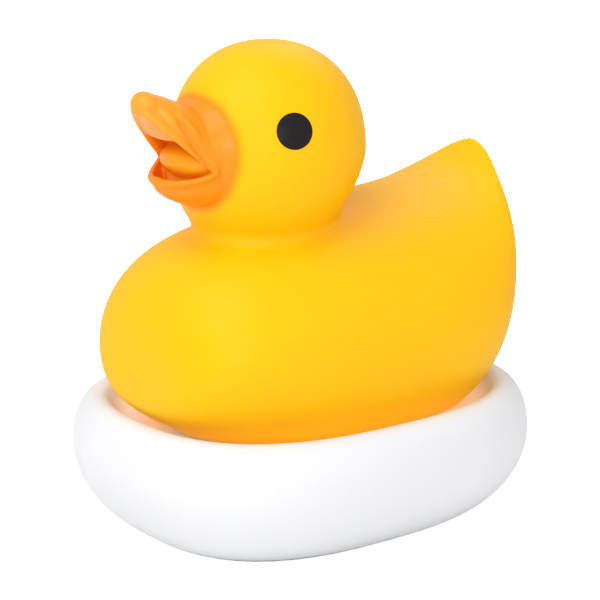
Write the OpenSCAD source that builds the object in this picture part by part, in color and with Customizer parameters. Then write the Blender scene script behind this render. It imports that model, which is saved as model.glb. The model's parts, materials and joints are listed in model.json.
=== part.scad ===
// Floating chlorine dispenser: a hollow duck that lifts off an oval float, with a tablet basket
// hung under it and a dosing dial under the float. The duck faces -Y, and Z = 0 is the flat base.

/* [Float] */
// Half of the float's length, along Y
float_half_l = 105; // [102:1:110]
// Half of the float's width, along X
float_half_w = 87.4; // [86:0.2:92]
// Squareness of the float's oval plan, where 2 is an ellipse
float_square = 2.6; // [2.2:0.1:3]
// Height of the widest line
float_wide_z = 39.3; // [36:0.5:42]
// Height of the rim's crest
float_rim_z = 61.9; // [60:0.5:64]
// How far the flat underside lies inside the widest line
float_under_inset = 37.8; // [34:0.5:38]
// How far the rim's crest lies inside the widest line
float_crest_inset = 11.5; // [10:0.5:13]
// Wall thickness of the float's mouldings
float_wall = 2.5; // [2:0.1:3]

/* [Duck] */
// Greatest half width of the duck's body
body_half_w = 67.7; // [64:0.5:68]
// Radius of the head
head_r = 44.1; // [42:0.5:46]
// Wall thickness of the hollow vinyl shell
vinyl_wall = 3; // [2.6:0.1:3.4]
// Radius of each eye
eye_r = 8; // [7:0.25:9]

/* [Dispenser] */
// Inside radius of the tablet basket, for 76 mm tablets
basket_in_r = 39; // [38.6:0.1:39]
// Number of slots round the basket
wall_slots = 12; // [8:1:16]
// Number of windows in the dosing floor
windows = 6; // [5:1:6]
// Angle that each window spans, in degrees
window_angle = 27; // [20:1:27]

/* [Hidden] */

$fn = 96;
ring_points = 48;

// Float levels and fits
seam_z = 5;
seam_gap = 0.8;
dish_floor_z = 46;
dish_roll = [8.5, 9.9];
dish_cove = [9, 6];
lower_power = 1.92;
upper_power = 2.09;

// Well, basket and lid cup, from the inside out
basket_wall = 1.5;
basket_r = basket_in_r + basket_wall;
basket_z = [8.8, 97];
basket_floor = 2;
well_in_r = basket_r + 0.5;
well_wall = 2.2;
well_r = well_in_r + well_wall;
well_top_z = 60;
well_floor_z = [6, 8.2];
well_flange_z = [3.3, 5.8];
well_flange_r = 50;
lid_in_r = well_r + 0.4;
lid_wall = 1.8;
lid_r = lid_in_r + lid_wall;
lid_flange_z = [50, 52];
lid_top_z = [101, 103];
lug_angle = 20;
lug_z = [93.7, 96.2];
ledge_angle = 70;
ledge_z = [91, 93.4];
seal_z = 56;
seal_r = 0.75;

// Dosing floor and dial
window_r = [14.5, 36];
hub_r = 5;
peg_r = 1.4;
peg_at_r = 10.5;
dial_z = [3, 5.7];
dial_r = well_in_r - 0.6;
dial_travel = 30;
pivot_r = 3;
run_fit = 0.05;

// Fasteners and weights
pan_screw_count = 6;
pan_screw_at_r = 46.8;
lid_screw_at = [[18, -54], [-18, -54], [20, 58], [-20, 58]];
ballast_r = [51.5, 60.5];
ballast_z = [2.6, 9.5];
tether_y = 59.5;
tether_pocket = [14, 14, 10];
tether_pin_r = 1.5;
tether_pin_z = 4.5;

// Duck: two rails in the mirror plane, as [y, z], carry the body's sections
rail_front = [-90.6, 68.6];
rail_saddle = [-12.6, 145.2];
saddle_slope = 2.7;
rail_tail = [102.7, 166.2];
rail_rump = [90.4, 98];
rail_belly = [0, 31.5];
split_a = 0.42;
split_b = 0.8;
width_front = 0.579;
width_rear = 0.636;
section_power = 2.16;
section_wide = 0.532;
belly_cut_z = 52;
belly_open_r = 46;

head_y = -19.3;
head_z = 175.5;
head_up = 48.7;
head_down = 50.4;
head_up_power = 2.217;
head_down_power = 1.78;
neck_lean = 0.1275;
neck_z = 138;
neck_r = 29.5;
neck_fillet = 7;

eye_azimuth = 70.2;
eye_tilt = 13.2;
eye_z = 191;
eye_depth = 2;
eye_dome = 0.9;

// Bill: curves of the mouth's corner, lips, ridge and keel, as [x, y, z]
mouth_corner = [25, -58, 172];
upper_tip = [0, -88.5, 200.5];
lower_tip = [0, -81, 171];
bill_root_z = 178.5;
bill_root_half = [26, 24];

// ---------- shared functions ----------
function signed_power(v, p) = sign(v) * pow(abs(v), p);
function lerp(a, b, t) = a + (b - a) * t;
function bezier(a, b, c, d, t) =
    pow(1 - t, 3) * a + 3 * pow(1 - t, 2) * t * b + 3 * (1 - t) * t * t * c + pow(t, 3) * d;
function heading(angle) = [cos(angle), sin(angle)];

// A superellipse of the float's squareness, lying at height z
function oval(half_x, half_y, z, y0 = 0, power = float_square, count = ring_points) =
    [for (i = [0:count - 1]) let (a = 360 * i / count)
        [half_x * signed_power(cos(a), 2 / power), y0 + half_y * signed_power(sin(a), 2 / power), z]];
function float_oval(inset, z) = oval(float_half_w - inset, float_half_l - inset, z);
function circle_ring(r, z, count = ring_points) =
    [for (i = [0:count - 1]) let (a = 360 * i / count) [r * cos(a), r * sin(a), z]];
function flat(ring) = [for (p = ring) [p[0], p[1]]];

// A skin over rings of equal count; a closed one joins its last ring to its first
module loft(rings, closed = false) {
    n = len(rings[0]);
    m = len(rings);
    sides = [for (j = [0:m - (closed ? 1 : 2)], i = [0:n - 1])
        let (k = (j + 1) % m, h = (i + 1) % n) [j * n + i, k * n + i, k * n + h, j * n + h]];
    caps = closed ? [] : [[for (i = [0:n - 1]) i], [for (i = [n - 1:-1:0]) (m - 1) * n + i]];
    polyhedron([for (r = rings) each r], concat(sides, caps), convexity = 8);
}

// ---------- float profile, as [inset, z] ----------
function lower_profile(t) = [float_under_inset * (1 - pow(sin(t), 2 / lower_power)),
    float_wide_z * (1 - pow(cos(t), 2 / lower_power))];
function upper_profile(t) = [float_crest_inset * (1 - pow(cos(t), 2 / upper_power)),
    float_wide_z + (float_rim_z - float_wide_z) * pow(sin(t), 2 / upper_power)];
// Angle at which the lower curve reaches height z
function lower_angle(z) = acos(pow(1 - z / float_wide_z, lower_power / 2));
roll_z = float_rim_z - dish_roll[1];
function roll_profile(t) = [float_crest_inset + dish_roll[0] * sin(t), roll_z + dish_roll[1] * cos(t)];
cove_inset = float_crest_inset + dish_roll[0];
function cove_profile(t) = [cove_inset + dish_cove[0] * (1 - cos(t)), roll_z - dish_cove[1] * sin(t)];

hull_start = lower_angle(seam_z + seam_gap / 2);
pan_end = lower_angle(seam_z - seam_gap / 2);
hull_skin = concat(
    [for (k = [0:5]) lower_profile(lerp(hull_start, 90, k / 5))],
    [for (k = [1:4]) upper_profile(90 * k / 4)],
    [for (k = [1:4]) roll_profile(90 * k / 4)],
    [for (k = [1:2]) cove_profile(90 * k / 2)]);
pan_skin = [for (k = [0:4]) lower_profile(lerp(0, pan_end, pow(k / 4, 0.8)))];

// The same path moved inwards by the wall, square to the path
function path_normal(path, i) =
    let (a = path[max(0, i - 1)], b = path[min(len(path) - 1, i + 1)], d = b - a)
    [-d[1], d[0]] / norm(d);
function inner_point(path, i) = path[i] - float_wall * path_normal(path, i);
function inner_path(path) = [for (i = [len(path) - 1:-1:0]) inner_point(path, i)];

module float_hull() {
    color("white") loft(concat(
        [for (p = hull_skin) float_oval(p[0], p[1])],
        [circle_ring(well_r + 0.3, dish_floor_z), circle_ring(well_r + 0.3, dish_floor_z - float_wall)],
        [for (p = inner_path(hull_skin)) float_oval(p[0], p[1])]), closed = true);
}

module pan_tray() {
    loft(concat(
        [circle_ring(well_in_r + 0.5, float_wall), circle_ring(well_in_r + 0.5, 0)],
        [for (p = pan_skin) float_oval(p[0], p[1])],
        [for (p = inner_path(pan_skin)) float_oval(p[0], p[1])]), closed = true);
}

module float_pan() {
    $fn = 32;
    wall = 1.5;
    color("white") resize([0, 0, 0]) difference() {
        union() {
            pan_tray();
            translate([-tether_pocket[0] / 2 - wall, tether_y - tether_pocket[1] / 2 - wall, float_wall / 2])
                cube([tether_pocket[0] + 2 * wall, tether_pocket[1] + 2 * wall,
                    tether_pocket[2] + wall - float_wall / 2]);
        }
        translate([-tether_pocket[0] / 2, tether_y - tether_pocket[1] / 2, -1])
            cube([tether_pocket[0], tether_pocket[1], tether_pocket[2] + 1]);
        translate([0, tether_y, tether_pin_z]) rotate([0, 90, 0])
            cylinder(r = tether_pin_r + 0.1, h = tether_pocket[0] + 2.2, center = true);
        pan_screw_places() {
            translate([0, 0, -1]) cylinder(r = 1.6, h = 6);
            translate([0, 0, -0.01]) cylinder(r1 = 3.1, r2 = 1.6, h = 1.6);
        }
    }
}

module seam_gasket() {
    last = len(pan_skin) - 1;
    color("lightgray") loft([for (p = [pan_skin[last], hull_skin[0], inner_point(hull_skin, 0),
        inner_point(pan_skin, last)]) float_oval(p[0], p[1])], closed = true);
}

// ---------- well ----------
module pan_screw_places() {
    for (i = [0:pan_screw_count - 1])
        rotate(360 * (i + 0.5) / pan_screw_count) translate([pan_screw_at_r, 0, 0]) children();
}

// A ring segment from a rectangle of [inner, outer] radius and [low, high] height
module arc_block(r, z, from, angle) {
    rotate(from) rotate_extrude(angle = angle)
        translate([r[0], z[0]]) square([r[1] - r[0], z[1] - z[0]]);
}

module dosing_windows(z) {
    for (i = [0:windows - 1])
        arc_block(window_r, z, 360 * i / windows - window_angle / 2, window_angle);
}

module well_cup() {
    color("whitesmoke") difference() {
        union() {
            rotate_extrude() polygon([[well_in_r, well_flange_z[0]], [well_flange_r, well_flange_z[0]],
                [well_flange_r, well_flange_z[1]], [well_r, well_flange_z[1]], [well_r, 38.5],
                [well_r + 4, 39.5], [well_r + 4, 41], [well_r, 41],
                [well_r, well_top_z - 1], [well_r - 0.8, well_top_z], [well_in_r, well_top_z]]);
            pan_screw_places() translate([0, 0, well_flange_z[0] + 1]) cylinder(r = 3, h = 7);
        }
        pan_screw_places() translate([0, 0, -1]) cylinder(r = 1.25, h = 10.5);
        translate([0, 0, seal_z]) rotate_extrude() translate([well_r - 1.2, -1]) square([2, 2]);
    }
}

// The floor snaps into the well's bore; the dial turns under it on the screw in its hub
module dosing_floor() {
    through = [well_floor_z[0] - 1, well_floor_z[1] + 1];
    color("whitesmoke") difference() {
        union() {
            translate([0, 0, well_floor_z[0]])
                cylinder(r = well_in_r - run_fit, h = well_floor_z[1] - well_floor_z[0]);
            translate([0, 0, well_floor_z[0]]) cylinder(r = hub_r + 0.5, h = 4.4);
        }
        translate([0, 0, through[0]]) cylinder(r = 2, h = 4.8);
        dosing_windows(through);
        arc_block([peg_at_r - peg_r - 0.3, peg_at_r + peg_r + 0.3], through, 30 - 9, dial_travel + 18);
    }
}

module lock_ring() {
    color("whitesmoke") difference() {
        translate([0, 0, dish_floor_z]) cylinder(r = 49, h = 3.5);
        translate([0, 0, dish_floor_z - 1]) cylinder(r = well_r + run_fit, h = 6);
        for (i = [0:5]) rotate(60 * i) translate([49, 0, dish_floor_z + 1]) cylinder(r = 2.5, h = 4);
    }
}

module well_seal() {
    color("dimgray") rotate_extrude() translate([well_r + 1.3, dish_floor_z - float_wall - 1.25])
        circle(r = 1.24);
}

module well_gasket() {
    color("dimgray") difference() {
        translate([0, 0, float_wall]) cylinder(r = well_flange_r, h = well_flange_z[0] - float_wall);
        translate([0, 0, float_wall - 1]) cylinder(r = well_in_r + 0.6, h = 4);
        pan_screw_places() cylinder(r = 1.7, h = 6);
    }
}

module pan_screws() {
    color("silver") pan_screw_places() {
        translate([0, 0, 0.3]) cylinder(r1 = 2.75, r2 = 1.2, h = 1.5);
        translate([0, 0, 1.5]) cylinder(r = 1.2, h = 7.8);
    }
}

// ---------- buoyancy and ballast ----------
module foam_layer(inset, z, hole_r) {
    color("gainsboro") translate([0, 0, z[0]]) linear_extrude(z[1] - z[0]) difference() {
        polygon(flat(float_oval(inset, 0)));
        circle(r = hole_r);
    }
}

module foam_lower() { foam_layer(16, [12.5, 26], 51); }
module foam_upper() { foam_layer(7, [26.3, 38], 48.5); }

module ballast(middle, angle) {
    color("slategray") arc_block(ballast_r, ballast_z, middle - angle / 2, angle);
}

module ballast_front() { ballast(-90, 70); }
module ballast_rear_left() { ballast(52, 36); }
module ballast_rear_right() { ballast(128, 36); }

module tether_pin() {
    color("silver") translate([0, tether_y, tether_pin_z]) rotate([0, 90, 0])
        cylinder(r = tether_pin_r, h = tether_pocket[0] + 2, center = true);
}

// ---------- dosing dial ----------
module dosing_dial() {
    color("deepskyblue") difference() {
        union() {
            translate([0, 0, dial_z[0]]) cylinder(r = dial_r, h = dial_z[1] - dial_z[0]);
            rotate(30) translate([peg_at_r, 0, dial_z[1] - 0.5]) cylinder(r = peg_r, h = 2.4);
            for (a = [30, 210]) rotate(a) translate([9, -2.5, 0.8]) cube([28, 5, dial_z[0]]);
        }
        dosing_windows([dial_z[0] - 1, dial_z[1] + 1]);
        translate([0, 0, dial_z[0] - 1]) cylinder(r = pivot_r + run_fit, h = 5);
    }
}

module dial_screw() {
    color("silver") {
        translate([0, 0, 1]) cylinder(r = 6, h = 1.6);
        translate([0, 0, 2.6]) cylinder(r = pivot_r, h = well_floor_z[0] - 2.6);
        translate([0, 0, well_floor_z[0]]) cylinder(r = 1.95, h = 3.5);
    }
}

module dial_washer() {
    color("silver") difference() {
        translate([0, 0, 2.65]) cylinder(r = 6.5, h = 0.3);
        translate([0, 0, 2]) cylinder(r = pivot_r + run_fit, h = 2);
    }
}

// ---------- tablet basket ----------
module basket_slots() {
    rows = 2;
    pitch = 37.5;
    for (i = [0:wall_slots - 1], j = [0:rows - 1])
        rotate(360 * (i + 0.5) / wall_slots)
            translate([basket_r - 4, -2.5, 16 + j * pitch]) cube([8, 5, pitch - 5]);
}

module tablet_basket() {
    color("aliceblue") {
        difference() {
            translate([0, 0, basket_z[0]]) cylinder(r = basket_r, h = basket_z[1] - basket_z[0]);
            translate([0, 0, basket_z[0] - 1]) cylinder(r = basket_in_r, h = 100);
            basket_slots();
        }
        for (i = [0:2])
            arc_block([basket_in_r + 0.7, lid_in_r - 0.6], lug_z, 120 * i - lug_angle / 2, lug_angle);
    }
}

// The grate that snaps into the basket's foot and carries the tablets over the windows
module basket_grate() {
    color("aliceblue") difference() {
        translate([0, 0, basket_z[0]]) cylinder(r = basket_in_r - run_fit, h = basket_floor);
        translate([0, 0, basket_z[0] - 1]) cylinder(r = hub_r + 1.5, h = 5);
        dosing_windows([basket_z[0] - 1, basket_z[0] + 4]);
    }
}

// ---------- duck ----------
function top_rail(s) = s <= split_a
    ? bezier(rail_front, rail_front + [0, 46.9], rail_saddle - 69.9 * heading(saddle_slope),
        rail_saddle, s / split_a)
    : bezier(rail_saddle, rail_saddle + 76.3 * heading(saddle_slope),
        rail_tail + 22.8 * heading(235.7), rail_tail, (s - split_a) / (1 - split_a));
function bottom_rail(s) = s <= split_a
    ? bezier(rail_front, rail_front - [0, 7.5], rail_belly - [37.6, 0], rail_belly, s / split_a)
    : s <= split_b
    ? bezier(rail_belly, rail_belly + [65.8, 0], rail_rump - [0, 54.3], rail_rump,
        (s - split_a) / (split_b - split_a))
    : bezier(rail_rump, rail_rump + [0, 15.9], rail_tail + 33.6 * heading(-112.6), rail_tail,
        (s - split_b) / (1 - split_b));
widest_s = width_front / (width_front + width_rear);
function half_width(s) = body_half_w * pow(s / widest_s, width_front)
    * pow((1 - s) / (1 - widest_s), width_rear);

// One section of the body, shrunk by t on every side
function body_section(s, t, count) =
    let (lo = bottom_rail(s), hi = top_rail(s), reach = norm(hi - lo), w = half_width(s) - t)
    [for (i = [0:count - 1])
        let (a = 360 * i / count, up = signed_power(cos(a), 2 / section_power),
            share = section_wide + (up > 0 ? 1 - section_wide : section_wide) * up,
            p = lerp(lo, hi, lerp(t / reach, 1 - t / reach, share)))
        [w * signed_power(sin(a), 2 / section_power), p[0], p[1]]];

module body_form(t = 0, stations = 26, count = 30, from = 0.012) {
    loft([for (k = [0:stations]) body_section((1 - cos(180 * lerp(from, 1 - from, k / stations))) / 2,
        t, count)]);
}

function head_radius(z) = z > head_z
    ? head_r * pow(1 - pow((z - head_z) / head_up, head_up_power), 1 / head_up_power)
    : head_r * pow(1 - pow((head_z - z) / head_down, head_down_power), 1 / head_down_power);
function lean(z) = -neck_lean * max(0, head_z - z);

// The head and neck, shrunk by t on every side
module head_form(t = 0, rings = 8, count = 32) {
    low = neck_z - 4;
    loft(concat(
        [for (k = [0:rings]) let (z = lerp(low, head_z, k / rings))
            [for (p = circle_ring(head_radius(z) - t, z, count)) p + [0, head_y + lean(z), 0]]],
        [for (k = [1:rings]) let (a = 88.5 * k / rings, rr = pow(cos(a), 2 / head_up_power))
            [for (p = circle_ring((head_r - t) * rr,
                head_z + (head_up - t) * pow(sin(a), 2 / head_up_power), count)) p + [0, head_y, 0]]]));
}

// A concave collar where the neck meets the back; it follows the back's slope and crown
module neck_collar(count = 32) {
    function foot(a) = neck_z + 1.5 + 2.4 * sin(a) - 3.2 * pow(cos(a), 2);
    function at(a, r, z) = [r * cos(a), head_y + lean(neck_z + 4) + r * sin(a), z];
    steps = 4;
    loft(concat(
        [[for (i = [0:count - 1]) let (a = 360 * i / count) at(a, neck_r, foot(a) - 8)]],
        [for (k = [0:steps]) let (b = 90 * k / steps)
            [for (i = [0:count - 1]) let (a = 360 * i / count)
                at(a, neck_r - 1 + neck_fillet * (1 - sin(b)), foot(a) - 1 + neck_fillet * (1 - cos(b)))]]));
}

module duck_outside() {
    body_form();
    head_form();
    neck_collar();
}

module duck_shell() {
    color("gold") resize([0, 0, 0]) difference() {
        duck_outside();
        difference() {
            union() {
                body_form(vinyl_wall, 14, 18, 0.1);
                head_form(vinyl_wall, 5, 18);
            }
            translate([-150, -150, -150]) cube([300, 300, 150 + belly_cut_z + vinyl_wall]);
        }
        translate([-150, -150, -150]) cube([300, 300, 150 + belly_cut_z]);
        translate([0, 0, belly_cut_z - 1]) cylinder(r = belly_open_r, h = vinyl_wall + 2);
        for (p = lid_screw_at) translate([p[0], p[1], belly_cut_z - 1]) cylinder(r = 1.8, h = 8, $fn = 16);
        for (side = [-1, 1]) eye_place(side) translate([0, 0, -eye_depth - 0.1])
            cylinder(r = eye_r + 0.1, h = 6, $fn = 48);
    }
}

module eye_place(side) {
    r = head_radius(eye_z);
    translate([side * r * sin(eye_azimuth), head_y - r * cos(eye_azimuth), eye_z])
        rotate([0, 0, side * eye_azimuth - 90]) rotate([0, 90 - eye_tilt, 0]) children();
}

module eye(side) {
    edge = -0.5;
    ball = (pow(eye_r, 2) + pow(eye_dome - edge, 2)) / (2 * (eye_dome - edge));
    color("black") eye_place(side) intersection() {
        translate([0, 0, -eye_depth]) cylinder(r = eye_r, h = eye_depth + eye_dome);
        translate([0, 0, eye_dome - ball]) sphere(r = ball, $fn = 96);
    }
}

module eye_left() { eye(1); }
module eye_right() { eye(-1); }

// ---------- bill ----------
function upper_lip(t) = bezier(mouth_corner, [24, -68, 178], [13, -90, 200], upper_tip, t);
function upper_ridge(t) = bezier([0, -58, 203], [0, -68, 201], [0, -80, 209.5], [0, -88, 205.5], t);
function lower_lip(t) = bezier(mouth_corner, [24, -66, 166], [14, -82, 167], lower_tip, t);
function lower_keel(t) = bezier([0, -58, 153], [0, -66, 156], [0, -77, 160], [0, -81.5, 166], t);
function mirrored(path) = [for (i = [len(path) - 1:-1:0]) [-path[i][0], path[i][1], path[i][2]]];

// A curved plate between a lip and its mirror image, arched through a middle curve
module mandible(lips, middles, thick, arch, flip) {
    count = 10;
    rings = [for (j = [0:len(lips) - 1])
        let (l = lips[j], m = middles[j], d = m - [0, l[1], l[2]], keep = 1 - min(0.7, thick / norm(d)),
            ring = concat(
                [for (i = [0:count]) let (a = 180 * i / count, s = pow(sin(a), arch))
                    [l[0] * cos(a), l[1] + d[1] * s, l[2] + d[2] * s]],
                [for (i = [count - 1:-1:1]) let (a = 180 * i / count, s = pow(sin(a), arch))
                    [max(0.3, l[0] - thick / 2) * cos(a), l[1] + d[1] * s * keep, l[2] + d[2] * s * keep]]))
        flip ? [for (i = [len(ring) - 1:-1:0]) ring[i]] : ring];
    loft(rings);
}

// A round bead swept along a path that runs mostly in X and Y
module bead(path, r, sides = 6) {
    last = len(path) - 1;
    loft([for (i = [0:last])
        let (d = path[min(last, i + 1)] - path[max(0, i - 1)],
            out = cross(d, [0, 0, 1]) / norm(cross(d, [0, 0, 1])), up = cross(out, d) / norm(d))
        [for (k = [0:sides - 1]) let (a = 360 * k / sides) path[i] + r * (cos(a) * up + sin(a) * out)]]);
}

// The root that wraps the head: a slice of the head's form, grown outwards
module bill_root() {
    intersection() {
        head_form(-2.4);
        translate([0, -40, bill_root_z]) rotate([90, 0, 0]) linear_extrude(60)
            polygon(flat(oval(bill_root_half[0], bill_root_half[1], 0, power = 2.2, count = 32)));
    }
}

module bill() {
    steps = 8;
    ts = [for (k = [0:steps]) lerp(0, 0.97, k / steps)];
    upper = [for (t = ts) upper_lip(t)];
    lower = [for (t = ts) lower_lip(t)];
    color("darkorange") resize([0, 0, 0]) difference() {
        union() {
            bill_root();
            mandible(upper, [for (t = ts) upper_ridge(t)], 5, 0.8, false);
            mandible(lower, [for (t = ts) lower_keel(t)], 5, 0.8, true);
            bead(concat(upper, mirrored(upper)), 1.6);
            bead(concat(lower, mirrored(lower)), 2.6);
            translate([0, -84.5, 202.8]) rotate([-38, 0, 0]) scale([9.5, 5.6, 3.6]) sphere(r = 1, $fn = 14);
            hull() {
                translate([0, -62, 168]) scale([18, 9, 6]) sphere(r = 1, $fn = 14);
                translate([0, -71, 170]) scale([10, 6, 4]) sphere(r = 1, $fn = 14);
            }
        }
        head_form(-0.15);
    }
}

// ---------- lid ----------
module belly_outline(inset) {
    polygon(flat(oval(51 - inset, 71 - inset, 0, y0 = 1.5, power = 2.3)));
}

module lid_cup() {
    color("whitesmoke") {
        difference() {
            union() {
                translate([0, 0, lid_flange_z[0]]) cylinder(r = lid_r, h = lid_top_z[1] - lid_flange_z[0]);
                translate([0, 0, lid_flange_z[0]]) linear_extrude(2) belly_outline(2.5);
            }
            translate([0, 0, lid_flange_z[0] - 1]) cylinder(r = lid_in_r, h = lid_top_z[0] - lid_flange_z[0] + 1);
            for (p = lid_screw_at) translate([p[0], p[1], lid_flange_z[0] - 1]) cylinder(r = 1.6, h = 5);
        }
        for (i = [0:2])
            arc_block([basket_r + 0.6, lid_in_r + 0.5], ledge_z, 120 * i - 20, ledge_angle);
    }
}

module clamp_plate() {
    z = belly_cut_z + vinyl_wall;
    color("whitesmoke") difference() {
        translate([0, 0, z]) linear_extrude(2.5) intersection() {
            belly_outline(6.5);
            union() for (end = [-1, 1]) translate([-60, end > 0 ? 40 : -100]) square([120, 60]);
        }
        translate([0, 0, z - 1]) cylinder(r = belly_open_r + 0.5, h = 5);
        for (p = lid_screw_at) translate([p[0], p[1], z - 1]) cylinder(r = 1.25, h = 5);
    }
}

module lid_screws() {
    color("silver") for (p = lid_screw_at) translate([p[0], p[1], 0]) {
        translate([0, 0, lid_flange_z[0] - 1.8]) cylinder(r = 2.8, h = 1.8);
        translate([0, 0, lid_flange_z[0] - 0.5]) cylinder(r = 1.2, h = 9);
    }
}

module lid_seal() {
    color("dimgray") translate([0, 0, seal_z]) rotate_extrude()
        translate([lid_in_r - run_fit - seal_r, 0]) circle(r = seal_r);
}

duck_shell();
bill();
eye_left();
eye_right();
lid_cup();
clamp_plate();
lid_screws();
lid_seal();
tablet_basket();
basket_grate();
float_hull();
float_pan();
seam_gasket();
well_cup();
dosing_floor();
lock_ring();
well_seal();
well_gasket();
pan_screws();
foam_lower();
foam_upper();
ballast_front();
ballast_rear_left();
ballast_rear_right();
tether_pin();
dosing_dial();
dial_screw();
dial_washer();
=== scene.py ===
"""Floating chlorine dispenser: a hollow vinyl duck on a white float, with its dosing parts below.

All lengths are millimetres until a mesh is made, when MM turns them into metres. The duck faces -Y.
"""

import json
import math

import bmesh
import bpy
import numpy as np
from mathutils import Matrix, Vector
from mathutils.bvhtree import BVHTree


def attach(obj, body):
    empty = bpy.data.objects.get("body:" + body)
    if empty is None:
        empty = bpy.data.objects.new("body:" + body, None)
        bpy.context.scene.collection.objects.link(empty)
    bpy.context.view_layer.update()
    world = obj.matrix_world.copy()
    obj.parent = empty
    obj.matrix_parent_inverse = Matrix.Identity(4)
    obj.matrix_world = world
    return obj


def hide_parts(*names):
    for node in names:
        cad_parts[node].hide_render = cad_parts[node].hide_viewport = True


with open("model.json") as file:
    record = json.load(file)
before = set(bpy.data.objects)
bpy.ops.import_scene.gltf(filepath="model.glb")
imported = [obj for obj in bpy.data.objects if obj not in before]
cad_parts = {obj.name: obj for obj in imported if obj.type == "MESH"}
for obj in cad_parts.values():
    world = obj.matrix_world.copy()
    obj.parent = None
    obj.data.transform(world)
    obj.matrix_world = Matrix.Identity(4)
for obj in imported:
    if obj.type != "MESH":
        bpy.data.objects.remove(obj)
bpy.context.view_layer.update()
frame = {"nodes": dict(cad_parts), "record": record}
MM = 0.001

# ---------- design values, as in the CAD part ----------
FLOAT_HALF = (87.4, 105.0)
FLOAT_SQUARE = 2.6
WIDE_Z, RIM_Z = 39.3, 61.9
UNDER_INSET, CREST_INSET = 37.8, 11.5
LOWER_POWER, UPPER_POWER = 1.92, 2.09
DISH_CURVE = ((11.5, 61.9), (17.5, 61.9), (18.0, 53.0), (27.0, 51.6))
DISH_FLOOR_Z = 46.0
DISH_STEP = ((33.4, 51.1), (34.2, 50.7), (34.6, 49.9), (34.8, 47.4), (35.1, 46.4), (36.0, DISH_FLOOR_Z))
STEP_INSIDE = ((36.0, 43.5), (33.2, 43.6), (32.4, 44.4), (32.2, 47.7), (31.4, 48.6))
FLOAT_WALL = 2.5
SEAM_Z, SEAM_GAP = 5.0, 0.24
WELL_R, WELL_GAP = 43.2, 0.3

BODY_HALF_W = 67.7
SPLIT_A, SPLIT_B = 0.42, 0.8
WIDTH_FRONT, WIDTH_REAR = 0.579, 0.636
SECTION_POWER, SECTION_WIDE = 2.16, 0.532
BELLY_CUT_Z, BELLY_OPEN_R, VINYL_WALL = 52.0, 46.0, 3.0

HEAD_R, HEAD_Y, HEAD_Z = 44.1, -19.3, 175.5
HEAD_UP, HEAD_DOWN = 48.7, 50.4
HEAD_UP_POWER, HEAD_DOWN_POWER = 2.217, 1.78
NECK_LEAN = 0.1275
HEAD_FOOT_Z = 132.0
NECK_BLEND = 7.5


# ---------- curves ----------
def spow(v, p):
    return np.sign(v) * np.abs(v) ** p


def bezier(a, b, c, d, t):
    a, b, c, d = (np.asarray(p, float) for p in (a, b, c, d))
    t = np.asarray(t, float)[..., None]
    return (1 - t) ** 3 * a + 3 * (1 - t) ** 2 * t * b + 3 * (1 - t) * t**2 * c + t**3 * d


def heading(degrees):
    a = math.radians(degrees)
    return np.array([math.cos(a), math.sin(a)])


def smooth(low, high, v):
    t = np.clip((v - low) / (high - low), 0, 1)
    return t * t * (3 - 2 * t)


# ---------- meshes ----------
def shade_smooth(obj):
    obj.data.polygons.foreach_set("use_smooth", [True] * len(obj.data.polygons))
    return obj


def new_object(name, verts, faces):
    """A smooth-shaded object from points in millimetres."""
    mesh = bpy.data.meshes.new(name)
    mesh.from_pydata([tuple(p) for p in np.asarray(verts, float) * MM], [], [tuple(f) for f in faces])
    mesh.validate()
    mesh.update()
    obj = bpy.data.objects.new(name, mesh)
    bpy.context.scene.collection.objects.link(obj)
    return shade_smooth(obj)


def loft(rings, closed=False):
    """Points and faces of a skin over rings of equal count; open ends are closed by a fan of triangles."""
    rings = np.asarray(rings, float)
    m, n = rings.shape[:2]
    verts = rings.reshape(-1, 3)
    faces = []
    for j in range(m if closed else m - 1):
        k = (j + 1) % m
        for i in range(n):
            h = (i + 1) % n
            faces.append((j * n + i, k * n + i, k * n + h, j * n + h))
    if not closed:
        ends = np.array([rings[0].mean(0), rings[-1].mean(0)])
        verts = np.vstack([verts, ends])
        last = (m - 1) * n
        faces += [(i, (i + 1) % n, m * n) for i in range(n)]
        faces += [(last + (i + 1) % n, last + i, m * n + 1) for i in range(n)]
    return verts, faces


def outward(obj):
    """Turns all faces of a closed skin outwards."""
    bm = bmesh.new()
    bm.from_mesh(obj.data)
    bmesh.ops.recalc_face_normals(bm, faces=bm.faces)
    if bm.calc_volume(signed=True) < 0:
        bmesh.ops.reverse_faces(bm, faces=bm.faces)
    bm.to_mesh(obj.data)
    bm.free()
    return obj


def join(name, parts):
    """One object from several, which are used up."""
    bm = bmesh.new()
    for part in parts:
        bm.from_mesh(part.data)
        bpy.data.objects.remove(part)
    mesh = bpy.data.meshes.new(name)
    bm.to_mesh(mesh)
    bm.free()
    obj = bpy.data.objects.new(name, mesh)
    bpy.context.scene.collection.objects.link(obj)
    return obj


def apply_modifiers(obj):
    """Makes the modifiers' result the object's own mesh."""
    evaluated = obj.evaluated_get(bpy.context.evaluated_depsgraph_get())
    mesh = bpy.data.meshes.new_from_object(evaluated)
    obj.modifiers.clear()
    obj.data = mesh
    return shade_smooth(obj)


def remesh(obj, voxel):
    """An even skin of quads over everything in the object."""
    mod = obj.modifiers.new("skin", "REMESH")
    mod.mode = "VOXEL"
    mod.voxel_size = voxel * MM
    mod.adaptivity = 0
    return apply_modifiers(obj)


def relax(obj, factor, times, around=None):
    """Evens the skin out, everywhere or only around a place given with its reach."""
    mod = obj.modifiers.new("relax", "SMOOTH")
    mod.factor = factor
    mod.iterations = times
    if around:
        obj.vertex_groups.clear()
        group = obj.vertex_groups.new(name="around")
        share = smooth(around[1], 0.6 * around[1], np.linalg.norm(points_of(obj) - around[0], axis=1))
        for i in np.nonzero(share > 0)[0]:
            group.add([int(i)], float(share[i]), "REPLACE")
        mod.vertex_group = "around"
    return apply_modifiers(obj)


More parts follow.
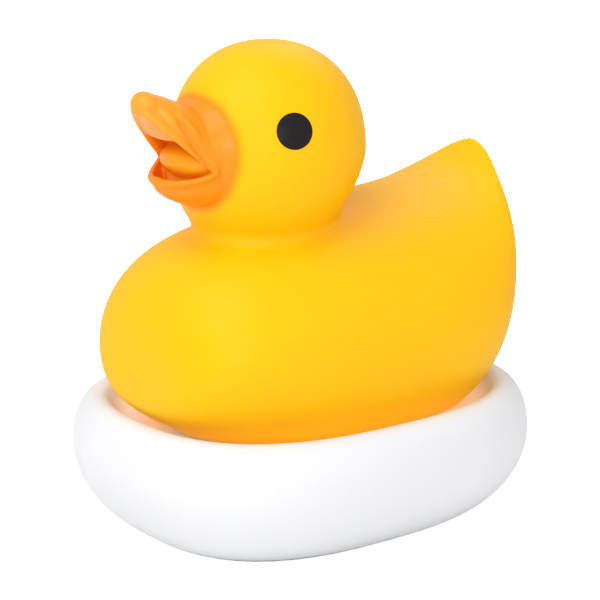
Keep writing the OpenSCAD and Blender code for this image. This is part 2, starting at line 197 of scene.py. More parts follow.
def fold(obj, path, height, width):
    """Raises a soft fold along a path and its mirror image, or sinks it where the height is negative."""
    points = points_of(obj)
    steps = np.linspace(0, len(path) - 1, 90)
    line = np.stack([np.interp(steps, range(len(path)), column) for column in np.transpose(path)], -1)
    move = np.zeros(len(points))
    for mirror in (1, -1):
        nearest, share = np.full(len(points), 1e9), np.zeros(len(points))
        for k, place in enumerate(line * [mirror, 1, 1]):
            away = np.linalg.norm(points - place, axis=1)
            closer = away < nearest
            nearest[closer], share[closer] = away[closer], k / (len(line) - 1)
        fade = smooth(0, 0.25, share) * smooth(1, 0.8, share)
        move += height * fade * np.exp(-((nearest / width) ** 2))
    set_points(obj, points + move[:, None] * normals_of(obj))
    return obj


def points_of(obj):
    """The object's points in millimetres."""
    co = np.empty(len(obj.data.vertices) * 3, np.float32)
    obj.data.vertices.foreach_get("co", co)
    return co.reshape(-1, 3).astype(float) / MM


def set_points(obj, points):
    obj.data.vertices.foreach_set("co", (np.asarray(points) * MM).astype(np.float32).ravel())
    obj.data.update()


def normals_of(obj):
    normals = np.empty(len(obj.data.vertices) * 3, np.float32)
    obj.data.vertex_normals.foreach_get("vector", normals)
    return normals.reshape(-1, 3)


def tree_of(obj):
    """A tree of the object's faces in millimetres."""
    mesh = obj.data
    return BVHTree.FromPolygons([v.co / MM for v in mesh.vertices], [tuple(p.vertices) for p in mesh.polygons])


def signed_distance(tree, points):
    """Distance outside the surface, and the direction away from it, for each point."""
    distance = np.empty(len(points))
    normal = np.empty((len(points), 3))
    for i, p in enumerate(points):
        place, n, _, d = tree.find_nearest(p)
        offset = Vector(p) - place
        side = 1.0 if offset.dot(n) > 0 else -1.0
        distance[i] = side * d
        normal[i] = n if d < 0.05 else offset * (side / d)
    return distance, normal


def melt(obj, trees, blend, where, rounds=3):
    """Moves the skin onto the smooth union of two surfaces, only where the test on its points holds."""
    points = points_of(obj)
    index = np.nonzero(where(points))[0]
    for _ in range(rounds):
        q = points[index]
        a, na = signed_distance(trees[0], q)
        b, nb = signed_distance(trees[1], q)
        share = np.clip(0.5 + 0.5 * (b - a) / blend, 0, 1)
        field = share * a + (1 - share) * b - blend * share * (1 - share)
        slope = share[:, None] * na + (1 - share)[:, None] * nb
        size = np.maximum(np.linalg.norm(slope, axis=1, keepdims=True), 0.35)
        points[index] = q - field[:, None] * slope / size**2
    set_points(obj, points)
    return obj


# ---------- duck form ----------
FRONT, SADDLE, TAIL = np.array([-90.6, 68.6]), np.array([-12.6, 145.2]), np.array([102.7, 166.2])
RUMP, BELLY = np.array([90.4, 98.0]), np.array([0.0, 31.5])
TAIL_HEADING = 235.7    # from the tail tip down along the back, in degrees
TAIL_PLUMP = 1.6
DUCK_VOXEL, CAVITY_VOXEL, BILL_VOXEL = 1.25, 3.0, 0.6


def top_rail(s):
    """The crest of breast, back and tail, as y and z."""
    along = 2.7
    first = bezier(FRONT, FRONT + [0, 46.9], SADDLE - 69.9 * heading(along), SADDLE, s / SPLIT_A)
    second = bezier(SADDLE, SADDLE + 76.3 * heading(along), TAIL + 22.8 * heading(TAIL_HEADING), TAIL,
                    (s - SPLIT_A) / (1 - SPLIT_A))
    return np.where((s <= SPLIT_A)[:, None], first, second)


def bottom_rail(s):
    """The keel of breast, belly and rump, as y and z."""
    first = bezier(FRONT, FRONT - [0, 7.5], BELLY - [37.6, 0], BELLY, s / SPLIT_A)
    second = bezier(BELLY, BELLY + [65.8, 0], RUMP - [0, 54.3], RUMP, (s - SPLIT_A) / (SPLIT_B - SPLIT_A))
    third = bezier(RUMP, RUMP + [0, 15.9], TAIL + 33.6 * heading(-112.6), TAIL, (s - SPLIT_B) / (1 - SPLIT_B))
    return np.where((s <= SPLIT_A)[:, None], first, np.where((s <= SPLIT_B)[:, None], second, third))


def body_rings(stations, count, inset=0.0):
    """Rings of the body from breast to tail; set in by a wall, they stop where the tail gets thin."""
    u = np.linspace(0.012, 0.988, stations)
    s = (1 - np.cos(math.pi * u)) / 2
    low, high = bottom_rail(s), top_rail(s)
    size = np.linalg.norm(high - low, axis=1, keepdims=True)
    low, high = low + inset * (high - low) / size, high - inset * (high - low) / size
    widest = WIDTH_FRONT / (WIDTH_FRONT + WIDTH_REAR)
    half = BODY_HALF_W * (s / widest) ** WIDTH_FRONT * ((1 - s) / (1 - widest)) ** WIDTH_REAR - inset
    a = np.linspace(0, 2 * math.pi, count, endpoint=False)
    up = spow(np.cos(a), 2 / SECTION_POWER)
    share = SECTION_WIDE + np.where(up > 0, 1 - SECTION_WIDE, SECTION_WIDE) * up
    rings = np.empty((stations, count, 3))
    rings[..., 0] = half[:, None] * spow(np.sin(a), 2 / SECTION_POWER)
    for axis in (0, 1):
        rings[..., 1 + axis] = low[:, None, axis] + (high - low)[:, None, axis] * share
    return rings[(size[:, 0] > 4 * inset) & (half > 2 * inset)]


def plump_tail(obj, amount):
    """Rounds the thin end of the tail by moving its skin outwards."""
    points = points_of(obj)
    share = smooth(34, 4, np.linalg.norm(points - [0, *TAIL], axis=1))
    back = np.array([0, *(0.9 * heading(TAIL_HEADING))])
    set_points(obj, points + amount * share[:, None] * (normals_of(obj) + back))
    return obj


def head_radius(z):
    up = np.clip((z - HEAD_Z) / HEAD_UP, 0, 1)
    down = np.clip((HEAD_Z - z) / HEAD_DOWN, 0, 1)
    return np.where(z > HEAD_Z, HEAD_R * (1 - up**HEAD_UP_POWER) ** (1 / HEAD_UP_POWER),
                    HEAD_R * (1 - down**HEAD_DOWN_POWER) ** (1 / HEAD_DOWN_POWER))


def head_rings(low_z, rings, count, grow=0.0):
    a = np.linspace(0, 2 * math.pi, count, endpoint=False)
    z = np.linspace(low_z, HEAD_Z, rings, endpoint=False)
    radius = head_radius(z) + grow
    t = np.linspace(0, math.radians(89.7), rings)
    z = np.concatenate([z, HEAD_Z + (HEAD_UP + grow) * np.sin(t) ** (2 / HEAD_UP_POWER)])
    radius = np.concatenate([radius, (HEAD_R + grow) * np.cos(t) ** (2 / HEAD_UP_POWER)])
    y = HEAD_Y - NECK_LEAN * np.maximum(0, HEAD_Z - z)
    return np.stack([radius[:, None] * np.cos(a), y[:, None] + radius[:, None] * np.sin(a),
                     z[:, None] + 0 * a], -1)


body_guide = plump_tail(outward(new_object("body_guide", *loft(body_rings(260, 260)))), TAIL_PLUMP)
head_guide = outward(new_object("head_guide", *loft(head_rings(HEAD_FOOT_Z, 90, 220))))
BODY_TREE, HEAD_TREE = tree_of(body_guide), tree_of(head_guide)


def near_neck(points):
    """Where the head and the body run into each other."""
    ring = np.hypot(points[:, 0], points[:, 1] - (HEAD_Y - 4.8))
    return (points[:, 2] > 108) & (points[:, 2] < 168) & (ring < 62)


def cut_belly(obj, z, radius):
    """Cuts the skin off flat and closes it down to a round opening."""
    bm = bmesh.new()
    bm.from_mesh(obj.data)
    bmesh.ops.bisect_plane(bm, geom=bm.verts[:] + bm.edges[:] + bm.faces[:], dist=1e-6,
                           plane_co=(0, 0, z * MM), plane_no=(0, 0, -1), clear_outer=True)
    rim = [e for e in bm.edges if e.is_boundary]
    count = 160
    hole = [bm.verts.new((radius * MM * math.cos(2 * math.pi * i / count),
                          radius * MM * math.sin(2 * math.pi * i / count), z * MM)) for i in range(count)]
    ring = [bm.edges.new((hole[i], hole[(i + 1) % count])) for i in range(count)]
    bmesh.ops.bridge_loops(bm, edges=rim + ring)
    bmesh.ops.recalc_face_normals(bm, faces=bm.faces)
    bm.to_mesh(obj.data)
    bm.free()
    return obj


def hollow(outer, inner):
    """One closed skin from two that share an opening."""
    obj = join("duck_moulding", [outer, inner])
    bm = bmesh.new()
    bm.from_mesh(obj.data)
    bmesh.ops.bridge_loops(bm, edges=[e for e in bm.edges if e.is_boundary])
    bm.to_mesh(obj.data)
    bm.free()
    return outward(obj)


def build_duck():
    outer = remesh(join("duck_outside", [body_guide, head_guide]), DUCK_VOXEL)
    melt(outer, (BODY_TREE, HEAD_TREE), NECK_BLEND, near_neck)
    relax(outer, 0.5, 5)
    relax(outer, 0.5, 10, ((0, *TAIL), 60))
    inner = remesh(join("duck_inside", [
        outward(new_object("body_inside", *loft(body_rings(90, 90, VINYL_WALL)))),
        outward(new_object("head_inside", *loft(head_rings(HEAD_FOOT_Z, 40, 80, -VINYL_WALL))))]), CAVITY_VOXEL)
    relax(inner, 0.5, 3)
    return hollow(cut_belly(outer, BELLY_CUT_Z, BELLY_OPEN_R),
                  cut_belly(inner, BELLY_CUT_Z + VINYL_WALL, BELLY_OPEN_R))


duck = shade_smooth(build_duck())

# ---------- bill ----------
UPPER_LIP = ([22, -61.6, 173], [18, -68, 179], [9, -88, 200.5], [0, -88, 200.5])
UPPER_RIDGE = ([0, -58, 199], [0, -70, 200.4], [0, -80, 210.6], [0, -87, 205])
LOWER_LIP = ([22, -61.6, 173], [18.5, -69, 168.5], [9, -78.5, 167], [0, -78.5, 168])
LOWER_KEEL = ([0, -56, 154], [0, -66, 155], [0, -76, 159.5], [0, -80.5, 166])
TIP_PAD = (0, -84.4, 202.2), (7.0, 5.8, 5.9)
FOLDS = (       # path, height and width of each soft fold on the upper mandible
    (((6.4, -83.7, 204.4), (6.9, -80.3, 201.6), (9.3, -78.5, 198.5), (11.3, -76.5, 195.7),
      (13.0, -74.2, 193.0)), 0.9, 1.5),
    (((8.5, -77.0, 201.0), (11.5, -74.1, 196.2), (13.3, -73.0, 193.0), (15.0, -71.8, 189.6),
      (16.4, -70.2, 186.0), (18.4, -68.2, 181.7), (20.8, -65.5, 177.4), (22.4, -63.2, 174.1)), -1.3, 1.5),
    (((8.9, -74.8, 199.9), (10.5, -73.4, 197.8), (12.1, -71.4, 195.6), (14.6, -68.9, 191.7),
      (17.5, -66.5, 186.5)), 1.1, 1.6),
)
TONGUE = (0, -60.2, 175.3), (18.0, 12.2, 8.0)
ROOT_Z, ROOT_HALF, ROOT_POWER, ROOT_SWELL = 178.5, (26.0, 24.0), 2.2, 6.6
CUP_FLOOR = (0, -61, 163.5), (15, 11, 3.6)
JAW_FRONT = (0, -76, 164)


def mandible(name, lip, middle, thick, power, solid=(2.0, 3.0), steps=40, count=48):
    """A curved plate from a lip to its mirror image, arched through a middle curve.

    It turns from hollow to solid between the two shares of its length in solid, never if they are past 1.
    """
    t = np.linspace(0, 0.985, steps)
    lips, middles = bezier(*lip, t), bezier(*middle, t)
    a = np.linspace(0, math.pi, count + 1)
    rings = []
    for l, m, fill in zip(lips, middles, smooth(*solid, t)):
        reach = m - [0, l[1], l[2]]
        keep = (1 - min(0.75, thick / np.linalg.norm(reach))) * (1 - fill) - 0.14 * fill
        half = max(0.3, l[0] - thick / 2 * (1 - 0.6 * fill))
        s = np.sin(a) ** power
        outer = np.stack([l[0] * np.cos(a), l[1] + reach[1] * s, l[2] + reach[2] * s], -1)
        inner = np.stack([half * np.cos(a), l[1] + reach[1] * s * keep, l[2] + reach[2] * s * keep], -1)
        rings.append(np.vstack([outer, inner[-2:0:-1]]))
    buried = [rings[0] + [0, 9, 0], rings[0] + [0, 4.5, 0]]
    return outward(new_object(name, *loft(buried + rings)))


def lip_bead(name, lip, thin, thick, steps=60, sides=16):
    """A round bead along a lip and its mirror image, thickest at the tip."""
    t = np.linspace(0, 1, steps)
    near = bezier(*lip, t)
    path = np.vstack([near, (near * [-1, 1, 1])[-2::-1]])
    radius = thin + (thick - thin) * np.concatenate([t, t[-2::-1]]) ** 1.5
    along = np.gradient(path, axis=0)
    along /= np.linalg.norm(along, axis=1, keepdims=True)
    out = np.cross(along, [0, 0, 1])
    out /= np.linalg.norm(out, axis=1, keepdims=True)
    up = np.cross(out, along)
    a = np.linspace(0, 2 * math.pi, sides, endpoint=False)[None, :, None]
    rings = path[:, None] + radius[:, None, None] * (np.cos(a) * out[:, None] + np.sin(a) * up[:, None])
    return outward(new_object(name, *loft(rings)))


def ellipsoid(name, centre, half, steps=40):
    a = np.linspace(0.02, math.pi - 0.02, steps)
    b = np.linspace(0, 2 * math.pi, 2 * steps, endpoint=False)
    rings = [[(half[0] * math.sin(p) * math.cos(q), half[1] * math.sin(p) * math.sin(q), half[2] * math.cos(p))
              for q in b] for p in a]
    return outward(new_object(name, *loft(np.array(rings) + np.array(centre))))


def head_front(x, z):
    """How far forward the head's skin is, as y."""
    lean = NECK_LEAN * np.maximum(0, HEAD_Z - z)
    return HEAD_Y - lean - np.sqrt(np.maximum(head_radius(z) ** 2 - x**2, 0))


def bill_root():
    """The swelling that carries both mandibles, thinning out to nothing on the head."""
    rings = []
    for share in np.linspace(0.01, 1, 44):
        a = np.linspace(0, 2 * math.pi, 160, endpoint=False)
        x = share * ROOT_HALF[0] * spow(np.cos(a), 2 / ROOT_POWER)
        z = ROOT_Z + share * ROOT_HALF[1] * spow(np.sin(a), 2 / ROOT_POWER)
        swell = ROOT_SWELL * (1 - np.full_like(x, share) ** 3) - 0.35 * share
        mouth = np.hypot(x / 23, (z - 177) / 12)
        swell = np.maximum(0.25 - 0.6 * share, swell - 6 * (1 - smooth(0.55, 1.05, mouth)))
        rings.append(np.stack([x, head_front(x, z) - swell, z], -1))
    back = [ring + [0, 2.2, 0] for ring in rings[::-6]]
    return outward(new_object("root", *loft(rings + back)))


def build_bill():
    """Both mandibles, their lips, the tongue and the swelling, melted into one skin."""
    parts = [
        bill_root(),
        mandible("upper", UPPER_LIP, UPPER_RIDGE, 5, 1.1, (0.22, 0.50)),
        mandible("lower", LOWER_LIP, LOWER_KEEL, 4.5, 0.7),
        lip_bead("upper_bead", UPPER_LIP, 1.3, 2.1),
        lip_bead("lower_bead", LOWER_LIP, 1.4, 2.1),
        ellipsoid("tip_pad", *TIP_PAD),
        ellipsoid("tongue", *TONGUE),
        ellipsoid("cup_floor", *CUP_FLOOR),
    ]
    bill = relax(remesh(join("bill_moulding", parts), BILL_VOXEL), 0.5, 6)
    relax(bill, 0.5, 14, (TIP_PAD[0], 17))
    for path, height, width in FOLDS:
        fold(bill, path, height, width)
    relax(bill, 0.5, 8, (JAW_FRONT, 20))
    return relax(bill, 0.5, 2)


bill = build_bill()

# ---------- float ----------
def lower_profile(t):
    """From the underside out to the widest line, as inset and z."""
    return np.stack([UNDER_INSET * (1 - np.sin(t) ** (2 / LOWER_POWER)),
                     WIDE_Z * (1 - np.abs(np.cos(t)) ** (2 / LOWER_POWER))], -1)


def upper_profile(t):
    """From the widest line in to the rim's crest, as inset and z."""
    return np.stack([CREST_INSET * (1 - np.abs(np.cos(t)) ** (2 / UPPER_POWER)),
                     WIDE_Z + (RIM_Z - WIDE_Z) * np.sin(t) ** (2 / UPPER_POWER)], -1)


def lower_angle(z):
    """Where the lower profile reaches a height."""
    return math.acos((1 - z / WIDE_Z) ** (LOWER_POWER / 2))


def hull_profile():
    """The shell from the seam up over the rim and down into the shallow dish."""
    quarter = math.pi / 2
    dish = bezier(*DISH_CURVE, np.linspace(0, 1, 26)[1:])
    return np.vstack([lower_profile(np.linspace(lower_angle(SEAM_Z + SEAM_GAP / 2), quarter, 26)),
                      upper_profile(np.linspace(0, quarter, 20)[1:]), dish])


def oval(inset, z, count=192):
    a = np.linspace(0, 2 * math.pi, count, endpoint=False)
    return np.stack([(FLOAT_HALF[0] - inset) * spow(np.cos(a), 2 / FLOAT_SQUARE),
                     (FLOAT_HALF[1] - inset) * spow(np.sin(a), 2 / FLOAT_SQUARE), z + 0 * a], -1)


def circle(r, z, count=192):
    a = np.linspace(0, 2 * math.pi, count, endpoint=False)
    return np.stack([r * np.cos(a), r * np.sin(a), z + 0 * a], -1)


def inner_path(path, wall):
    """The same path moved in by the wall, from its end back to its start."""
    along = np.gradient(path, axis=0)
    along /= np.linalg.norm(along, axis=1, keepdims=True)
    return (path - wall * np.stack([-along[:, 1], along[:, 0]], -1))[::-1]


def build_hull():
    """The outer skin, the step down round the lid's flange, the well's opening and the skin inside."""
    shell = hull_profile()
    rings = [oval(*p) for p in [*shell, *DISH_STEP]]
    rings += [circle(WELL_R + WELL_GAP, DISH_FLOOR_Z), circle(WELL_R + WELL_GAP, DISH_FLOOR_Z - FLOAT_WALL)]
    rings += [oval(*p) for p in [*STEP_INSIDE, *inner_path(shell, FLOAT_WALL)[1::3]]]
    return outward(new_object("float_moulding", *loft(rings, closed=True)))


hull = build_hull()

# ---------- materials ----------
class Paint:
    """A node tree under construction around one Principled shader."""

    def __init__(self, name, **settings):
        self.material = bpy.data.materials.new(name)
        self.material.use_nodes = True
        self.tree = self.material.node_tree
        self.shader = self.tree.nodes["Principled BSDF"]
        self.place = self.node("ShaderNodeTexCoord").outputs["Object"]
        for socket, value in settings.items():
            self.shader.inputs[socket.replace("_", " ")].default_value = value

    def node(self, kind, **sockets):
        made = self.tree.nodes.new(kind)
        for socket, value in sockets.items():
            made.inputs[socket].default_value = value
        return made

    def link(self, output, target):
        self.tree.links.new(output, target)

    def noise(self, scale, detail=3.0, roughness=0.5):
        made = self.node("ShaderNodeTexNoise", Scale=scale, Detail=detail, Roughness=roughness)
        self.link(self.place, made.inputs["Vector"])
        return made.outputs["Fac"]

    def spread(self, value, low, high, source=(0.3, 0.7)):
        """Maps a value's middle range onto low to high."""
        made = self.node("ShaderNodeMapRange")
        for socket, v in zip(("From Min", "From Max", "To Min", "To Max"), (*source, low, high)):
            made.inputs[socket].default_value = v
        self.link(value, made.inputs["Value"])
        return made.outputs["Result"]

    def mix(self, factor, first, second):
        made = self.node("ShaderNodeMix")
        made.data_type = "RGBA"
        self.link(factor, made.inputs["Factor"])
        for socket, value in (("A", first), ("B", second)):
            target = next(s for s in made.inputs if s.name == socket and s.type == "RGBA")
            if isinstance(value, tuple):
                target.default_value = value
            else:
                self.link(value, target)
        return next(s for s in made.outputs if s.type == "RGBA")

    def roughness(self, low, high, scale):
        self.link(self.spread(self.noise(scale), low, high), self.shader.inputs["Roughness"])

    def bump(self, *layers):
        """Each layer is a height, its strength and its depth in metres; they add up."""
        previous = None
        for height, strength, depth in layers:
            made = self.node("ShaderNodeBump", Strength=strength, Distance=depth)
            self.link(height, made.inputs["Height"])
            if previous:
                self.link(previous, made.inputs["Normal"])
            previous = made.outputs["Normal"]
        self.link(previous, self.shader.inputs["Normal"])

    def painted_glow(self, name, colour, strength):
        """Painted light: an emission in the given colour where the attribute is set, standing in for bounced light.
        """
        self.shader.inputs["Emission Color"].default_value = colour
        self.link(self.spread(self.attribute(name), 0.0, strength, (0.0, 1.0)),
                  self.shader.inputs["Emission Strength"])

    def attribute(self, name):
        made = self.node("ShaderNodeAttribute")
        made.attribute_name = name
        return made.outputs["Fac"]


# Painted bounce light: glow colours standing in for light bounced between the yellow duck and the white float.
PAINTED_BOUNCE_YELLOW, PAINTED_BOUNCE_PEACH = (1.0, 0.48, 0.0, 1), (1.0, 0.62, 0.36, 1)
YELLOW, YELLOW_DEEP = (0.95, 0.490, 0.0010, 1), (0.93, 0.470, 0.0008, 1)
# The bill's orange paint, then painted shade for the inside of the mouth, then painted light for the bill's upper
# front.
ORANGE, MOUTH_SHADE_ORANGE, PAINTED_LIGHT_PEACH = (0.92, 0.258, 0.006, 1), (0.95, 0.275, 0.003, 1), (0.95, 0.335, 0.022, 1)
TONGUE_ORANGE = (0.93, 0.345, 0.006, 1)
WHITE, WHITE_DEEP = (0.77, 0.772, 0.79, 1), (0.75, 0.753, 0.775, 1)


def vinyl():
    p = Paint("duck_vinyl", Subsurface_Weight=0.12, Subsurface_Radius=(1.0, 0.6, 0.1), Subsurface_Scale=0.005,
              Specular_IOR_Level=0.14)
    body = p.mix(p.spread(p.noise(14, 2), 0, 1), YELLOW, YELLOW_DEEP)
    p.link(p.mix(p.attribute("spray"), body, ORANGE), p.shader.inputs["Base Color"])
    # Painted bounce light: a faint yellow glow on the duck's lower part next to the dish.
    p.painted_glow("low", PAINTED_BOUNCE_YELLOW, 0.13)
    p.roughness(0.40, 0.48, 90)
    p.bump((p.noise(2400, 2), 0.10, 0.00005), (p.noise(60, 2), 0.12, 0.0003))
    return p.material


def bill_vinyl():
    p = Paint("bill_vinyl", Subsurface_Weight=0.2, Subsurface_Radius=(1.0, 0.4, 0.08), Subsurface_Scale=0.004,
              Specular_IOR_Level=0.22)
    # Painted light: the upper front of the bill is a lighter peach, where the light falls on its top.
    outer = p.mix(p.attribute("tip"), ORANGE, PAINTED_LIGHT_PEACH)
    # Painted shade: the inside of the mouth gets its own orange, standing in for the shade in that recess.
    inside = p.mix(p.attribute("painted_mouth_shade"), outer, MOUTH_SHADE_ORANGE)
    p.link(p.mix(p.attribute("tongue"), inside, TONGUE_ORANGE), p.shader.inputs["Base Color"])
    p.roughness(0.28, 0.36, 120)
    p.bump((p.noise(1800, 2), 0.08, 0.00005), (p.noise(90, 2), 0.10, 0.0002))
    return p.material


def float_white():
    p = Paint("float_white", Subsurface_Weight=0.3, Subsurface_Radius=(1.0, 0.85, 0.7), Subsurface_Scale=0.008,
              Specular_IOR_Level=0.5)
    p.link(p.mix(p.spread(p.noise(9, 2), 0, 1), WHITE, WHITE_DEEP), p.shader.inputs["Base Color"])
    # Painted bounce light: a peach glow on the dish strip between the rim and the duck.
    p.painted_glow("dish", PAINTED_BOUNCE_PEACH, 0.30)
    p.roughness(0.30, 0.38, 80)
    p.bump((p.noise(1500, 2), 0.06, 0.00004), (p.noise(40, 2), 0.10, 0.0003))
    return p.material


def plastic(name, colour, shade, rough=(0.32, 0.42), grain=1200):
    p = Paint(name, Specular_IOR_Level=0.5)
    p.link(p.mix(p.spread(p.noise(30, 3), 0, 1), colour, shade), p.shader.inputs["Base Color"])
    p.roughness(*rough, 150)
    p.bump((p.noise(grain, 2), 0.10, 0.00005))
    return p.material


def eye_black():
    p = Paint("eye_black", Specular_IOR_Level=0.12)
    p.link(p.mix(p.spread(p.noise(200, 3), 0, 1), (0.011, 0.008, 0.009, 1), (0.015, 0.012, 0.012, 1)),
           p.shader.inputs["Base Color"])
    p.roughness(0.38, 0.46, 300)
    p.bump((p.noise(2600, 2), 0.10, 0.00004))
    return p.material


def rubber():
    p = Paint("seal_rubber", Specular_IOR_Level=0.35)
    p.link(p.mix(p.spread(p.noise(400, 4), 0, 1), (0.02, 0.02, 0.022, 1), (0.045, 0.045, 0.048, 1)),
           p.shader.inputs["Base Color"])
    p.roughness(0.62, 0.78, 500)
    p.bump((p.noise(3000, 3), 0.2, 0.00006))
    return p.material


def foam():
    p = Paint("foam", Specular_IOR_Level=0.2)
    cells = p.node("ShaderNodeTexVoronoi", Scale=450.0)
    p.link(p.place, cells.inputs["Vector"])
    p.link(p.mix(p.spread(cells.outputs["Distance"], 0, 1, (0, 0.8)), (0.72, 0.73, 0.74, 1), (0.86, 0.87, 0.88, 1)),
           p.shader.inputs["Base Color"])
    p.roughness(0.8, 0.92, 300)
    p.bump((cells.outputs["Distance"], 0.5, 0.0004))
    return p.material


def metal(name, colour, rough, scratch=1.0):
    p = Paint(name, Metallic=1.0)
    stretch = p.node("ShaderNodeMapping")
    stretch.inputs["Scale"].default_value = (1.0, 12.0, 1.0)
    p.link(p.place, stretch.inputs["Vector"])
    fine = p.node("ShaderNodeTexNoise", Scale=700.0, Detail=4.0)
    p.link(stretch.outputs["Vector"], fine.inputs["Vector"])
    p.link(p.mix(fine.outputs["Fac"], colour, tuple(0.82 * v for v in colour[:3]) + (1,)),
           p.shader.inputs["Base Color"])
    p.link(p.spread(fine.outputs["Fac"], *rough), p.shader.inputs["Roughness"])
    p.bump((fine.outputs["Fac"], 0.15 * scratch, 0.00003))
    return p.material


MATERIALS = {
    "duck_vinyl": vinyl(),
    "bill_vinyl": bill_vinyl(),
    "eye_black": eye_black(),
    "float_white": float_white(),
    "inner_plastic": plastic("inner_plastic", (0.74, 0.75, 0.76, 1), (0.69, 0.70, 0.72, 1)),
    "basket_plastic": plastic("basket_plastic", (0.70, 0.76, 0.80, 1), (0.64, 0.71, 0.76, 1)),
    "dial_plastic": plastic("dial_plastic", (0.02, 0.20, 0.52, 1), (0.015, 0.17, 0.46, 1), (0.28, 0.36)),
    "seal_rubber": rubber(),
    "foam": foam(),
    "ballast_paint": metal("ballast_paint", (0.22, 0.24, 0.26, 1), (0.5, 0.65)),
    "stainless": metal("stainless", (0.62, 0.62, 0.63, 1), (0.22, 0.34)),
}


def finish_piece(obj, body, slot, *nodes):
    obj.data.materials.clear()
    obj.data.materials.append(MATERIALS[slot])
    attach(obj, body)
    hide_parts(*nodes)
    return obj


def set_attribute(obj, name, values):
    made = obj.data.attributes.new(name, "FLOAT", "POINT")
    made.data.foreach_set("value", np.asarray(values, np.float32))


def root_share(points):
    """How far out on the bill's root each point is, 1 at its edge."""
    return ((np.abs(points[:, 0]) / ROOT_HALF[0]) ** ROOT_POWER
            + (np.abs(points[:, 2] - ROOT_Z) / ROOT_HALF[1]) ** ROOT_POWER) ** (1 / ROOT_POWER)


def mark_duck():
    """spray: the orange edge round the bill; low: the part next to the dish, given a painted yellow glow standing
    in for light bounced up from the white float.
    """
    points = points_of(duck)
    near_bill = np.where(points[:, 1] < -40, root_share(points), 9.0)
    outside = np.linalg.norm(points[:, :2] * [1, 0.85], axis=1) > 46
    set_attribute(duck, "spray", 1 - smooth(0.98, 1.16, near_bill))
    set_attribute(duck, "low", smooth(70, 54, points[:, 2]) * outside)


def mark_hull():
    """dish: the strip between the rim and the duck, given a painted peach glow standing in for light bounced off
    the yellow duck.
    """
    points = points_of(hull)
    length_share = FLOAT_HALF[1] / FLOAT_HALF[0]
    oval_size = np.sum(np.abs(points[:, :2] / [1, length_share]) ** FLOAT_SQUARE, axis=1) ** (1 / FLOAT_SQUARE)
    inset, z = FLOAT_HALF[0] - oval_size, points[:, 2]
    set_attribute(hull, "dish", smooth(12.5, 22, inset) * (z > 45.5) * smooth(61.6, 56, z))


def mark_bill():
    """tip: painted light, a lighter peach on the bill's upper front; the mouth's inside: painted shade; tongue: the
    tongue's own colour.
    """
    points = points_of(bill)
    mouth = np.hypot(points[:, 0] / 17, (points[:, 2] - 178) / 9)
    on_tongue = np.linalg.norm((points - TONGUE[0]) / TONGUE[1], axis=1)
    set_attribute(bill, "tip", smooth(-64, -88, points[:, 1]) * smooth(176, 190, points[:, 2]))
    set_attribute(bill, "painted_mouth_shade", (1 - smooth(0.6, 1.0, mouth)) * smooth(-74, -66, points[:, 1]))
    set_attribute(bill, "tongue", 1 - smooth(1.04, 1.16, on_tongue))


mark_duck()
mark_hull()
mark_bill()
finish_piece(duck, "duck", "duck_vinyl", "duck_shell")
finish_piece(bill, "duck", "bill_vinyl", "bill")
finish_piece(hull, "float", "float_white", "float_hull")


# ---------- CAD nodes that stay ----------
def soften(obj, angle=35):
    """Smooth shading over gentle angles only."""
    shade_smooth(obj)
    split = obj.modifiers.new("creases", "EDGE_SPLIT")
    split.split_angle = math.radians(angle)


for part in frame["record"]["subparts"]:
    node = frame["nodes"][part["node"]]
    if node.hide_render:
        continue
    node.data.materials.clear()
    node.data.materials.append(MATERIALS[part["material_slot"]])
    soften(node)

# ---------- stage ----------
def build_floor():
    """A pale floor that curves up behind the object, square to the camera."""
    half, reach, rise = 3.0, 2.2, 2.4
    curve = [(-half, 0)] + [(reach + rise * math.sin(a), rise * (1 - math.cos(a)))
                            for a in np.linspace(0, math.pi / 2, 13)]
    turn = math.radians(CAMERA_AZIMUTH)
    verts, faces = [], []
    for along, up in curve:
        for side in (-half * 1.5, half * 1.5):
            verts.append(((side * math.cos(turn) - along * math.sin(turn)) / MM,
                          (side * math.sin(turn) + along * math.cos(turn)) / MM, up / MM))
    for i in range(len(curve) - 1):
        faces.append((2 * i, 2 * i + 1, 2 * i + 3, 2 * i + 2))
    floor = new_object("studio_floor", verts, faces)
    p = Paint("studio_white", Specular_IOR_Level=0.1, Roughness=0.9, Emission_Color=(1, 1, 1, 1))
    seen = p.node("ShaderNodeLightPath").outputs["Is Camera Ray"]
    p.link(p.spread(seen, 0.04, 0.8, (0, 1)), p.shader.inputs["Emission Strength"])
    p.link(p.mix(p.spread(p.noise(6, 2), 0, 1), (0.90, 0.90, 0.90, 1), (0.88, 0.88, 0.88, 1)),
           p.shader.inputs["Base Color"])
    floor.data.materials.append(p.material)


def area_light(name, place, aim, size, power):
    data = bpy.data.lights.new(name, "AREA")
    data.shape, data.size, data.energy = "DISK", size, power
    obj = bpy.data.objects.new(name, data)
    bpy.context.scene.collection.objects.link(obj)
    obj.location = place
    obj.rotation_euler = (Vector(aim) - Vector(place)).to_track_quat("-Z", "Y").to_euler()


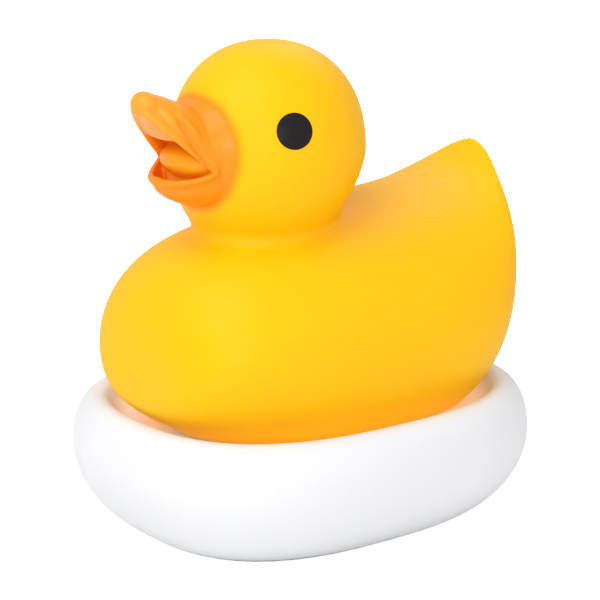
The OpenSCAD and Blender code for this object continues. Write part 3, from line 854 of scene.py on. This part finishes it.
CAMERA_AZIMUTH, CAMERA_ELEVATION = 53.304, 15.133
CAMERA_PLACE = Vector((0.80065, -0.59792, 0.37218))


def around(azimuth, elevation, distance, height=0.09):
    """A place seen from the camera's side: azimuth is counted from the camera, positive to its right."""
    a, e = math.radians(CAMERA_AZIMUTH + azimuth), math.radians(elevation)
    return (distance * math.sin(a) * math.cos(e), -distance * math.cos(a) * math.cos(e),
            height + distance * math.sin(e))


def build_studio():
    """Four soft lights, and a white world that looks brighter to the camera than it lights."""
    centre = (0, 0, 0.10)
    area_light("key", around(-42, 55, 1.1), centre, 0.9, 6.0)
    area_light("fill", around(50, 20, 1.3), centre, 0.9, 1.2)
    area_light("front", around(-5, 16, 1.6), centre, 0.6, 6.0)
    area_light("back", around(165, 45, 1.2), centre, 0.8, 1.6)
    world = bpy.data.worlds.new("studio")
    bpy.context.scene.world = world
    world.use_nodes = True
    world.node_tree.nodes["Background"].inputs["Color"].default_value = (1, 1, 1, 1)
    nodes, links = world.node_tree.nodes, world.node_tree.links
    seen, level = nodes.new("ShaderNodeLightPath"), nodes.new("ShaderNodeMapRange")
    level.inputs["To Min"].default_value, level.inputs["To Max"].default_value = 0.70, 1.0
    links.new(seen.outputs["Is Camera Ray"], level.inputs["Value"])
    links.new(level.outputs["Result"], nodes["Background"].inputs["Strength"])


def build_camera():
    data = bpy.data.cameras.new("camera")
    data.lens, data.sensor_width = 134.58, 36
    data.clip_start, data.clip_end = 0.05, 20
    camera = bpy.data.objects.new("camera", data)
    bpy.context.scene.collection.objects.link(camera)
    camera.location = CAMERA_PLACE
    a, e = math.radians(CAMERA_AZIMUTH), math.radians(CAMERA_ELEVATION)
    back = Vector((math.sin(a) * math.cos(e), -math.cos(a) * math.cos(e), math.sin(e)))
    camera.rotation_mode = "QUATERNION"
    camera.rotation_quaternion = (-back).to_track_quat("-Z", "Y")
    bpy.context.scene.camera = camera


build_floor()
build_studio()
build_camera()
bpy.context.scene.view_settings.view_transform = "Standard"
